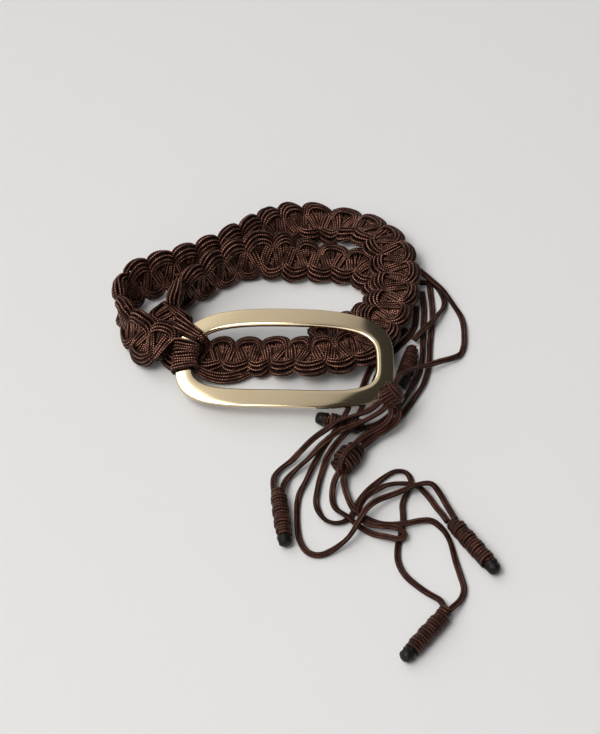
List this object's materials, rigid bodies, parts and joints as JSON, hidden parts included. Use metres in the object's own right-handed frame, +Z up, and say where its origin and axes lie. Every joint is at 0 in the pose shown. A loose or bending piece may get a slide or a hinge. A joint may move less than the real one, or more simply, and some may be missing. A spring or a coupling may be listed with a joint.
{
  "type": "knotted cord belt with frame buckle",
  "caption": "Knotted cord belt with scalloped edges, an oblong frame buckle and loose knotted ties, lying coiled in two windings.",
  "frame": {"origin": "on the surface the belt lies on, under the middle of the box round the band, the bar wrap and the buckle", "axes": "+X along the coil towards the end with the ties, +Y from the buckle towards the back of the coil, +Z up"},
  "size_m": [0.1884, 0.2842, 0.0266],
  "materials": {
    "knotted_cord": "braided synthetic cord, slight sheen",
    "tie_cord": "flat braided synthetic cord, slight sheen",
    "buckle_metal": "polished pale gold plating"
  },
  "bodies": {
    "root": {"knotted_band": "knotted_cord", "bar_wrap": "knotted_cord", "buckle_frame": "buckle_metal", "tie_cord_edge": "tie_cord", "tie_cord_side_loop": "tie_cord", "tie_cord_barrel_c": "tie_cord", "tie_cord_barrel_a": "tie_cord", "tie_cord_inner": "tie_cord", "tie_cord_long_bight": "tie_cord", "tie_cord_barrel_b_upper": "tie_cord", "tie_cord_barrel_b_lower": "tie_cord", "knot_link_left": "tie_cord", "knot_link_right": "tie_cord", "tie_cord_barrel_d": "tie_cord", "tie_cord_barrel_e": "tie_cord", "barrel_knot_a": "tie_cord", "barrel_knot_b": "tie_cord", "barrel_knot_c": "tie_cord", "barrel_knot_d": "tie_cord", "barrel_knot_e": "tie_cord", "round_knot_upper": "tie_cord", "round_knot_lower": "tie_cord"}
  },
  "joints": []
}
